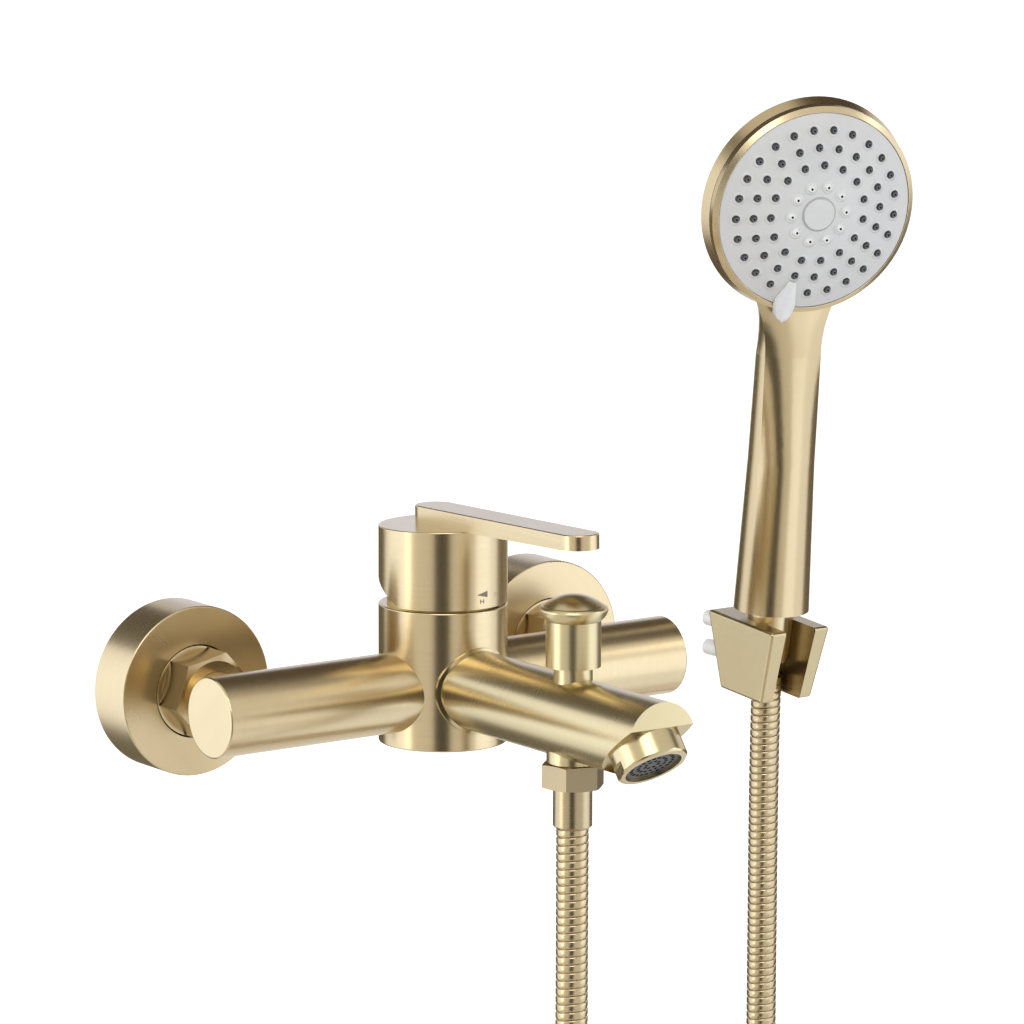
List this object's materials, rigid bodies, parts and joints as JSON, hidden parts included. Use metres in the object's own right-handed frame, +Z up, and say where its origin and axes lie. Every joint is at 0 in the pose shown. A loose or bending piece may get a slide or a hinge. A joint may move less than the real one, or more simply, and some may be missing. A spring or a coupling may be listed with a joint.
{
  "type": "bath shower mixer",
  "caption": "Wall-mounted single-lever bath mixer with a fixed spout, lift-up diverter, flexible hose, hand shower and wall holder in brushed gold.",
  "frame": {"origin": "on the wall plane, midway between the two threaded wall outlets", "axes": "+Z up, -Y out of the wall into the room, +X to the right as seen from the room"},
  "size_m": [0.3136, 0.2043, 0.5172],
  "materials": {
    "brushed_gold": "satin brushed gold coating",
    "raw_brass": "machined",
    "steel": "turned",
    "gold_hose": "gold-coated steel winding",
    "black_rubber": "moulded",
    "fibre": "moulded",
    "ceramic": "lapped",
    "black_plastic": "moulded",
    "white_plastic": "moulded",
    "grey_plastic": "moulded"
  },
  "bodies": {
    "fixed": {"mixer_body": "brushed_gold", "hot_arm": "brushed_gold", "cold_arm": "brushed_gold", "inlet_nipples": "brushed_gold", "check_valves": "white_plastic", "union_nuts": "brushed_gold", "filter_washers": "fibre", "hot_union": "brushed_gold", "cold_union": "brushed_gold", "escutcheon_rings": "black_rubber", "hot_escutcheon": "brushed_gold", "cold_escutcheon": "brushed_gold", "spout": "brushed_gold", "spout_ring": "brushed_gold", "spout_seal": "black_rubber", "aerator_housing": "brushed_gold", "aerator_insert": "black_plastic", "aerator_washer": "black_rubber", "diverter_bush": "brushed_gold", "diverter_spring": "steel", "hose_outlet": "raw_brass", "cartridge_base": "black_plastic", "cartridge_housing": "white_plastic", "fixed_disc": "ceramic", "cartridge_nut": "raw_brass", "hose_nut": "brushed_gold", "hose_washer": "black_rubber", "hose_ferrule": "brushed_gold", "hose_drop": "gold_hose", "hose_coil": "gold_hose", "hose_rise": "gold_hose", "hose_tie": "black_plastic", "bracket_holder": "brushed_gold", "bracket_screws": "steel", "wall_plugs": "grey_plastic"},
    "temperature_carrier": {"stem_carrier": "white_plastic", "stem_pin": "steel"},
    "handle": {"cartridge_stem": "raw_brass", "handle_dome": "brushed_gold", "lever_blade": "brushed_gold", "handle_screw": "steel", "blade_screw": "steel", "screw_cover": "brushed_gold"},
    "sliding_disc": {"moving_disc": "ceramic"},
    "diverter": {"diverter_knob": "brushed_gold", "diverter_rod": "steel", "diverter_plug": "black_rubber"},
    "hose_end": {"cone_insert": "raw_brass"},
    "hand_shower": {"cone_nut": "brushed_gold", "handset_washer": "black_rubber", "handset_shell": "brushed_gold", "trim_ring": "brushed_gold", "distributor": "black_plastic", "centre_screw": "steel"},
    "spray_face": {"spray_plate": "grey_plastic", "black_nozzles": "black_rubber", "white_nozzles": "white_plastic", "centre_cap": "grey_plastic", "selector_tab": "white_plastic"}
  },
  "joints": [
    {"name": "temperature_turn", "type": "hinge", "parent": "fixed", "child": "temperature_carrier", "pos_m": [0, -0.059, 0.0335], "axis": [0, 0, 1], "range_deg": [-45, 45]},
    {"name": "lever_lift", "type": "hinge", "parent": "temperature_carrier", "child": "handle", "pos_m": [0, -0.059, 0.0335], "axis": [-1, 0, 0], "range_deg": [0, 22]},
    {"name": "disc_slide", "type": "slide", "parent": "temperature_carrier", "child": "sliding_disc", "axis": [0, -1, 0], "range_m": [0, 0.0028]},
    {"name": "diverter_lift", "type": "slide", "parent": "fixed", "child": "diverter", "axis": [0, 0, 1], "range_m": [0, 0.008], "stiffness_N_per_m": 250, "springref_m": -0.006, "deforming": ["diverter_spring"]},
    {"name": "hand_shower_lift", "type": "slide", "parent": "fixed", "child": "hose_end", "axis": [0, -0.0872, 0.9962], "range_m": [0, 0.06]},
    {"name": "hand_shower_turn", "type": "hinge", "parent": "hose_end", "child": "hand_shower", "pos_m": [0.172, -0.0231, 0.0063], "axis": [0, -0.0872, 0.9962], "range_deg": [-45, 75]},
    {"name": "spray_dial", "type": "hinge", "parent": "hand_shower", "child": "spray_face", "pos_m": [0.16802, -0.05088, 0.16026], "axis": [-0.2671, -0.9428, -0.1996], "range_deg": [-30, 30]}
  ],
  "couplings": [
    {"joint": "disc_slide", "follows": "lever_lift", "m_per_rad": 0.00705}
  ]
}
